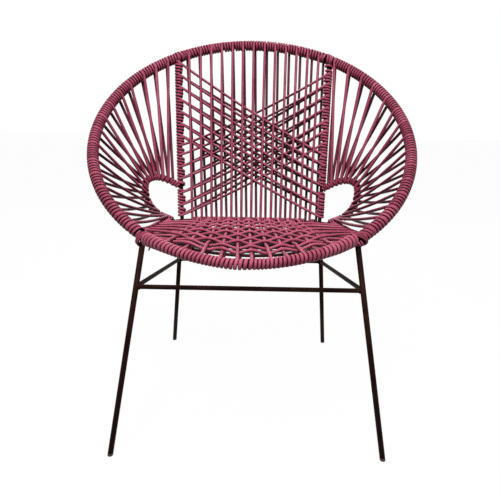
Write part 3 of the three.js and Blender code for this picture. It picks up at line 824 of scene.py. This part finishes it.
def crossed_set(lefts, rights, bows, first_rear, face, marks):
    """One set of slanting cords. Each turns half round an upright before it comes back."""
    half = UPRIGHT_PITCH / 2
    starts = [(1 - share) * upright_left.length for share in lefts]
    ends = [(1 - share) * upright_right.length for share in rights]
    fronts = [strung(upright_left, start, upright_right, end, face, bow=bows[0], painted_shade=CROSSED_FRONT_PAINTED_SHADE)
              for start, end in zip(starts, ends)]
    # The rear cords turn their outer face back, so that the front sees their inner face, painted dark
    rears = [strung(upright_right, end + CROSSED_DROP, upright_left, start - half, -back_front,
                    bow=bows[1], painted_shade=CROSSED_REAR_PAINTED_SHADE)
             for start, end in zip(starts[1:], ends)]
    lines, run = [], []
    for i, (start, end, front) in enumerate(zip(starts, ends, fronts)):
        returns = first_rear <= i < len(rears)
        come = rears[i - 1][2] if run else math.pi
        leave = rears[i][1] if returns else math.pi
        run += [upright_turns(upright_left, (start - half, come), (start, front[1])), front[0],
                upright_turns(upright_right, (end, front[2]), (end + CROSSED_DROP, leave))]
        marks[-1].append((start - half, start))
        marks[1].append((end, end + CROSSED_DROP))
        if returns:
            run.append(rears[i][0])
        else:
            lines.append(as_one(*run))
            run = []
    return lines


def crossed_cords():
    """The two slanting sets, and the turns that fill the uprights between their ends."""
    marks = {-1: [], 1: []}
    lines = crossed_set(**FALLING, marks=marks) + crossed_set(**RISING, marks=marks)
    for rod, sign in ((upright_left, -1), (upright_right, 1)):
        joint = (1 - ARM_JOINT_SHARE) * rod.length
        fences = [(0, HEAD_CLEARANCE[sign]), *sorted(marks[sign]), (rod.length - FOOT_CLEARANCE, rod.length)]
        for (_, before), (after, _) in zip(fences, fences[1:]):
            (after_cord, start_angle), (before_cord, end_angle) = FILL_ENDS[sign]
            start = (before + after_cord * UPRIGHT_PITCH, start_angle * math.pi)
            end = (after - before_cord * UPRIGHT_PITCH, end_angle * math.pi)
            stretches = [(start, end)]
            if start[0] < joint < end[0]:
                stretches = [(start, (joint - JOINT_GAP[0], math.pi)), ((joint + JOINT_GAP[1], math.pi), end)]
            for here, there in stretches:
                if there[0] - here[0] > LEAST_FILL * UPRIGHT_PITCH:
                    lines.append(upright_turns(rod, here, there, FILL_TUCK))
    # The turns at the heads, which fan out on the right
    lines.append(upright_turns(upright_right, (0.0125, math.pi), (0.0205, math.pi), 0.001, 0.0066,
                               lambda length: 0.0035 * (length - 0.0165) / 0.004))
    lines.append(upright_turns(upright_left, (0.0115, math.pi), (0.0145, 0), 0.002))
    return lines


# Seat: lengthwise cords (warp) from the front rim to the rear bar, crosswise cords (weft) woven through
# them, and plain lower rows of both
SIDE_PITCH = 0.0066
WARP_FRONTS = [-0.147, -0.112, -0.079, -0.048, -0.020, 0.003, 0.034, 0.061, 0.088, 0.116, 0.145]
WARP_REARS = [-0.1256 + 0.024 * i for i in range(11)]
WEFT_MIDDLES = [-0.226, -0.187, -0.140, -0.112, -0.073, -0.030, -0.011, 0.027, 0.057, 0.080, 0.110, 0.135]
WEFT_SIDES = [-0.050, -0.030, -0.009, 0.013, 0.034, 0.054, 0.072, 0.088, 0.103, 0.117, 0.130, 0.142]
LOWER_MIDDLES = [-0.200, -0.165, -0.130, -0.103, -0.074, -0.045, -0.016, 0.012, 0.038, 0.064, 0.090]
WEFT_LIFT = 0.0032
WARP_LIFT = 0.0024
# The lower rows turn their inner face, painted dark, upward: painted shade below the woven rows
LOWER_PAINTED_SHADE = 1.0
LOWER_WARP_DROP = 0.0076
LOWER_WEFT_DROP = 0.0124
LOWER_SIDE_SHIFT = 0.008
RIM_PITCH = 0.0067
RIM_PITCH_GAIN = 0.0058
RIM_SWELL = 0.0036
RIM_TURNS = math.radians(-61), math.radians(58.5)
RIM_LOOSE_TURN = math.radians(52)
RIM_ANGLE = 0.1
RIM_CORD_END = ((0.004, -0.004, -0.008), (0.0035, -0.007, -0.012), (0.002, -0.009, -0.0165))
BAR_STEP = 1.5 * BAR_PITCH
SIDE_ENDS = -0.072, 0.175
SIDE_SLANT = 0.006
SIDE_SLANT_REACH = 0.035
# How the front winding lies beside the rod's own line, by the distance to the right
RIM_SETTLED = ((-0.21, -0.0048), (-0.185, -0.0030), (-0.16, -0.0024), (-0.02, -0.0030), (0.0, -0.0016),
               (0.05, -0.0008), (0.09, 0.0), (0.15, 0.0), (0.18, 0.0030), (0.21, 0.0040))


def rim_line(turn):
    point = seat_point(turn)
    for (x, low), (next_x, high) in zip(RIM_SETTLED, RIM_SETTLED[1:]):
        if x <= point.x <= next_x:
            point.z += low + (high - low) * (point.x - x) / (next_x - x)
            break
    return point


rim_rod = Rod(sampled(rim_line, *RIM_TURNS, 900), UP, -1, ON_ROD)
bar_top_rod = Rod(bar_rod.points, UP, -1, ON_ROD)
side_line = sampled(seat_point, *(seat_turn_behind(away) for away in SIDE_ENDS), 400)
side_rods = [Rod([mirrored(point, sign) for point in side_line], UP, 1, ON_ROD) for sign in (-1, 1)]


def rim_pitch(length):
    """The turns lie closest in the middle of the rim."""
    centre = rim_rod.place(length)[0]
    turn = math.atan2(abs(centre.x), SEAT_WIDEST_Y - centre.y)
    return RIM_PITCH + RIM_PITCH_GAIN * min(1, turn / RIM_LOOSE_TURN) ** 2


def rim_swell(length):
    """Towards the corners the rim's turns ride over one another, and lie thicker."""
    return RIM_SWELL * abs(2 * length / rim_rod.length - 1) ** 2.5


def weave_height(x, y):
    """The height of the seat's plane, between the rim in front and the bar behind."""
    front = seat_point(seat_turn_across(x, True))
    rear = seat_point(seat_turn_across(x, False))
    return front.z + (rear.z - front.z) * (y - front.y) / (rear.y - front.y)


def warp_x(index, y):
    front = seat_point(seat_turn_across(WARP_FRONTS[index], True)).y
    rear = seat_point(seat_turn_across(WARP_REARS[index], False)).y
    share = (y - front) / (rear - front)
    return WARP_FRONTS[index] + (WARP_REARS[index] - WARP_FRONTS[index]) * share


def crossing(index, middle, side):
    """Where a lengthwise cord meets a crosswise one, which runs from the sides to its own middle."""
    end_y = SEAT_WIDEST_Y + side
    half = seat_point(seat_turn_behind(side)).x
    x = warp_x(index, middle)
    for _ in range(2):
        y = end_y + (middle - end_y) * (1 - (x / half) ** 2)
        x = warp_x(index, y)
    return x, y


def weft_side(index, row):
    """1 where the crosswise cord passes over, -1 where it passes under."""
    return -1 if (index + max(row, 1)) % 2 else 1


def through(start, points, end, steps=5, painted_shade=0.0):
    """A line from one winding's point to another's through loose points between them."""
    line = smooth_line([start[0], *points, end[0]], steps)
    count = len(line) - 1
    # With painted shade, the cord turns its inner face, painted dark, upward
    up = -UP if painted_shade else UP
    talls = [1 + (SEAT_SHARE - 1) * min(1, i / 3, (count - i) / 3) for i in range(count + 1)]
    return [(point, up, 1.0, tall, painted_shade) for point, tall in zip(line, talls)]


def lengthwise_cords():
    """The windings of rim and bar, with a woven cord and a plain one below it at each place."""
    lines = []
    previous = (END_GAP, math.pi)
    for j, (front_x, rear_x) in enumerate(zip(WARP_FRONTS, WARP_REARS)):
        at_rim, at_bar = rim_rod.length_where(0, front_x), bar_top_rod.length_where(0, rear_x - BAR_PITCH / 2)
        shift = WANDER * (chance.random() - 0.5)
        woven = []
        for row, (middle, side) in enumerate(zip(WEFT_MIDDLES, WEFT_SIDES)):
            x, y = crossing(j, middle, side)
            woven.append(Vector((x + shift, y, weave_height(x, y) - WARP_LIFT * weft_side(j, row))))
        lines.append(through(rim_rod.around(at_rim, RIM_ANGLE), woven, bar_top_rod.around(at_bar, 0)))
        half = rim_pitch(at_rim) / 2
        start = rim_rod.around(at_rim + half, math.pi)
        end = bar_top_rod.around(at_bar + BAR_STEP, math.pi)
        plain = [start[0].lerp(end[0], share) for share in (0.2, 0.4, 0.6, 0.8)]
        for point in plain:
            point.z = weave_height(point.x, point.y) - LOWER_WARP_DROP
        lines.append(through(start, plain, end, 6, LOWER_PAINTED_SHADE))
        lines.append(wound(bar_top_rod, (at_bar, 0), (at_bar + BAR_STEP, math.pi), BAR_PITCH))
        lines.append(wound(rim_rod, previous, (at_rim, RIM_ANGLE), rim_pitch, swell=rim_swell))
        previous = (at_rim + half, math.pi)
    lines.append(wound(rim_rod, previous, (rim_rod.length - END_GAP, 0), rim_pitch, swell=rim_swell))
    lines.append(cord_end(rim_rod.place(0.006)[0], RIM_CORD_END))
    return lines


def crosswise_cords():
    """The woven rows, the plain rows below them, and the windings of the ring's sides."""
    lines = []
    left, right = side_rods
    previous = (END_GAP, math.pi)

    def leaning(length):
        return SIDE_SLANT * max(0, 1 - length / SIDE_SLANT_REACH)

    for row, (middle, side) in enumerate(zip(WEFT_MIDDLES, WEFT_SIDES)):
        at = left.length_where(1, SEAT_WIDEST_Y + side)
        woven = []
        for j in range(len(WARP_FRONTS)):
            x, y = crossing(j, middle, side)
            woven.append(Vector((x, y, weave_height(x, y) + WEFT_LIFT * weft_side(j, row))))
        angle = 0 if weft_side(0, row) > 0 else math.pi
        lines.append(through(left.around(at, angle), woven, right.around(at, angle)))
        for rod in side_rods:
            lines.append(wound(rod, previous, (at, angle), SIDE_PITCH, slant=leaning))
        previous = (at, angle)
    for rod in side_rods:
        lines.append(wound(rod, previous, (rod.length - END_GAP, math.pi), SIDE_PITCH, END_TUCK))
    for number, middle in enumerate(LOWER_MIDDLES):
        side = WEFT_SIDES[number] + LOWER_SIDE_SHIFT
        at = left.length_where(1, SEAT_WIDEST_Y + side)
        plain = []
        for j in range(0, len(WARP_FRONTS), 2):
            x, y = crossing(j, middle, side)
            plain.append(Vector((x, y, weave_height(x, y) - LOWER_WEFT_DROP)))
        lines.append(through(left.around(at, math.pi), plain, right.around(at, math.pi), 6, LOWER_PAINTED_SHADE))
    return lines


for label, sign in SIDES:
    for stretch_name, lines in zip(STRETCH_NAMES, side_cords(sign)):
        nodes = [f"side_cord_{label}_{stretch_name}"]
        if stretch_name == "middle":
            nodes.append(f"arm_loop_winding_{label}")
        cord_piece(f"side_fan_{label}_{stretch_name}", lines, nodes)
cord_piece("back_upright_cords", upright_cords(), ["back_cord_upright"])
cord_piece("back_crossed_cords", crossed_cords(), ["back_cord_crossed"])
cord_piece("seat_lengthwise_cords", lengthwise_cords(), ["seat_cord_lengthwise"], seat_cord)
cord_piece("seat_crosswise_cords", crosswise_cords(), ["seat_cord_crosswise"], seat_cord)

# Frame: drawn as round bars with weld beads at their joints
BEAD = 0.0026
LEG_WALL = 0.0012
LEG_TOP_GAP = 0.003
PLUG_HEIGHT = 0.006
PLUG_GAP = 0.0003
SPIGOT_TOP = 0.020


def bar_piece(name, lines, node, radius):
    swept_piece(name, lines, [node], steel, 2 * radius, 2 * radius, 24)


def bar_line(points, facing):
    """A rod's own line, with an outward side for the sweep."""
    rod = Rod(points, facing, 1)
    return [(point, rod.section(length)[1], 1.0, 1.0, 0.0) for point, length in zip(points, rod.lengths)]


def bead_line(centre, axis, radius):
    """A weld's run round a rod, uneven as it was laid."""
    side = axis.orthogonal().normalized()
    other = axis.cross(side).normalized()
    share = BEAD / (2 * radius)
    line = []
    for i in range(29):
        angle = TURN * i / 28
        out = side * math.cos(angle) + other * math.sin(angle)
        wave = 0.0003 * math.sin(7 * angle) + 0.0002 * math.sin(11 * angle + 1)
        line.append((centre + out * (radius + wave) + axis * wave, out, share, share, 0.0))
    return line


def leg_point(foot, top, height, sign):
    return mirrored(foot.lerp(top, height / top.z), sign)


def ring_of(mesh, centre, radius, sides=24):
    """A level ring of points."""
    return [mesh.verts.new(centre + Vector((radius * math.cos(TURN * i / sides),
                                            radius * math.sin(TURN * i / sides), 0)))
            for i in range(sides)]


def lofted(name, axis, rings, closed, finish, node):
    """A turned shape on a leg's axis: level rings of (height, radius), joined one to the next."""
    mesh = bmesh.new()
    loops = [ring_of(mesh, axis(height), radius) for height, radius in rings]
    pairs = list(zip(loops, loops[1:]))
    if closed:
        pairs.append((loops[-1], loops[0]))
    else:
        mesh.faces.new(loops[0])
        mesh.faces.new(loops[-1])
    for lower, upper in pairs:
        for i, after in enumerate([*range(1, len(lower)), 0]):
            mesh.faces.new((lower[i], lower[after], upper[after], upper[i]))
    bmesh.ops.recalc_face_normals(mesh, faces=mesh.faces)
    for face in mesh.faces:
        face.smooth = len(face.verts) == 4 and abs(face.normal.z) < 0.9
    data = bpy.data.meshes.new(name)
    mesh.to_mesh(data)
    mesh.free()
    data.materials.append(finish)
    stands_for(placed(name, data), [node])


def frame_pieces():
    """Ring and hoop, then each side's rods, legs and plugs, then the stretchers with their beads."""
    bar_piece("seat_ring_bar", [bar_line(sampled(seat_point, 0, TURN, 360), UP)], "seat_ring", ROD_RADIUS)
    hoop = sampled(hoop_point, -HOOP_END_TURN, HOOP_END_TURN, 260)
    bar_piece("hoop_tube", [bar_line(hoop, HOOP_FRONT)], "hoop", HOOP_RADIUS)
    legs = (("front", FRONT_FOOT, corner, FRONT_JOINT_HEIGHT),
            ("rear", REAR_FOOT, seat_point(REAR_LEG_TURN), REAR_JOINT_HEIGHT))
    bore = LEG_RADIUS - LEG_WALL
    spigot = bore - PLUG_GAP
    plug_rings = (
        (0, LEG_RADIUS - 0.0012), (0.0005, LEG_RADIUS - 0.0003), (0.0012, LEG_RADIUS),
        (PLUG_HEIGHT - 0.0006, LEG_RADIUS), (PLUG_HEIGHT, LEG_RADIUS - 0.0006),
        (PLUG_HEIGHT, spigot), (SPIGOT_TOP - 0.001, spigot), (SPIGOT_TOP, spigot - 0.001))
    joints = {}
    for label, sign in SIDES:
        upright = [upright_point(i / 40, sign) for i in range(41)]
        loop = [mirrored(point, sign) for point in arm_line]
        for node, line, facing in ((f"back_upright_{label}", upright, FORWARD),
                                   (f"arm_loop_{label}", loop, HOOP_FRONT)):
            bar_piece(node + "_bar", [bar_line(line, facing)], node, ROD_RADIUS)
        for end, foot, top, joint_height in legs:
            def axis(height):
                return leg_point(foot, top, height, sign)

            low, high = PLUG_HEIGHT + PLUG_GAP, top.z - LEG_TOP_GAP
            leg_rings = (low, LEG_RADIUS), (high, LEG_RADIUS), (high, bore), (low, bore)
            node = f"leg_{end}_{label}"
            lofted(node + "_tube", axis, leg_rings, True, steel, node)
            node = f"foot_plug_{end}_{label}"
            lofted(node + "_cap", axis, plug_rings, False, plug_plastic, node)
            joints[end, label] = axis(joint_height)
    for label in ("front", "rear", "left", "right"):
        a, b = (point for names, point in joints.items() if label in names)
        along = (b - a).normalized()
        # The rod starts inside the legs, and its beads lie where it comes out
        a, b = a + along * LEG_RADIUS * 0.6, b - along * LEG_RADIUS * 0.6
        beads = [bead_line(centre, along, ROD_RADIUS + 0.0002)
                 for centre in (a + along * LEG_RADIUS * 0.5, b - along * LEG_RADIUS * 0.5)]
        bar_piece(f"stretcher_{label}_bar", [bar_line([a.lerp(b, i / 12) for i in range(13)], UP), *beads],
                  f"stretcher_{label}", ROD_RADIUS)


frame_pieces()


# Floor, light and camera
LAMPS = (
    ("front_softbox", (-0.5, -1.8, 2.6), 63, 0.7), ("top_softbox", (0.1, -0.5, 2.5), 30, 0.8),
    ("right_softbox", (2.0, -1.4, 1.5), 7, 0.7), ("rear_softbox", (-0.4, 2.2, 1.9), 24, 1.0),
)
LAMP_TARGET = Vector((0, 0, 0.5))
FLOOR_HALF = 12


def seen_rays(tree):
    """1 for what the camera sees, itself or in a mirror or through glass."""
    ray = add_node(tree, "ShaderNodeLightPath").outputs
    return maths(tree, "MAXIMUM", ray["Is Camera Ray"],
                 maths(tree, "MAXIMUM", ray["Is Glossy Ray"], ray["Is Transmission Ray"]))


def floor_and_room():
    """A floor that the camera sees as near white with soft shadows, in a white room that lights little."""
    finish, tree, body, _ = shader("pale_floor")
    give(tree, body, {"Base Color": (0.86, 0.86, 0.86, 1), "Roughness": 0.9})
    glow = add_node(tree, "ShaderNodeEmission", {"Color": (1, 1, 1, 1), "Strength": 1.0})
    pale = add_node(tree, "ShaderNodeMixShader", {0: 0.975, 1: body.outputs[0], 2: glow.outputs[0]})
    dim = add_node(tree, "ShaderNodeBsdfDiffuse", {"Color": (0.24, 0.24, 0.24, 1)})
    mixed = add_node(tree, "ShaderNodeMixShader", {0: seen_rays(tree), 1: dim.outputs[0], 2: pale.outputs[0]})
    give(tree, tree.nodes["Material Output"], {"Surface": mixed.outputs[0]})
    mesh = bpy.data.meshes.new("floor")
    corners = [(x * FLOOR_HALF, y * FLOOR_HALF, 0) for x, y in ((-1, -1), (1, -1), (1, 1), (-1, 1))]
    mesh.from_pydata(corners, [], [(0, 1, 2, 3)])
    mesh.materials.append(finish)
    placed("floor", mesh)

    world = bpy.data.worlds.new("white_room")
    world.use_nodes = True
    bpy.context.scene.world = world
    tree = world.node_tree
    give(tree, tree.nodes["Background"], {
        "Color": (1, 1, 1, 1), "Strength": mapped(tree, seen_rays(tree), 0.08, 1.0)})


def lamps():
    for name, place, power, width in LAMPS:
        lamp = bpy.data.lights.new(name, "AREA")
        lamp.energy = power
        lamp.size = width
        light = placed(name, lamp)
        light.location = place
        light.rotation_euler = (LAMP_TARGET - Vector(place)).to_track_quat("-Z", "Y").to_euler()


floor_and_room()
lamps()

CAMERA_PLACE = Vector((0, -1.0675, 0.6565))
CAMERA_PITCH = 0.3097
CAMERA_ROLL = 0.0186
lens = bpy.data.cameras.new("camera")
lens.sensor_width = 36
lens.lens = 36.31
lens.shift_x = 0.0002
lens.shift_y = 0.0392
camera = placed("camera", lens)
camera.matrix_world = (Matrix.Translation(CAMERA_PLACE)
                       @ Matrix.Rotation(math.pi / 2 - CAMERA_PITCH, 4, "X")
                       @ Matrix.Rotation(CAMERA_ROLL, 4, "Z"))
bpy.context.scene.camera = camera
bpy.context.scene.view_settings.view_transform = "Standard"
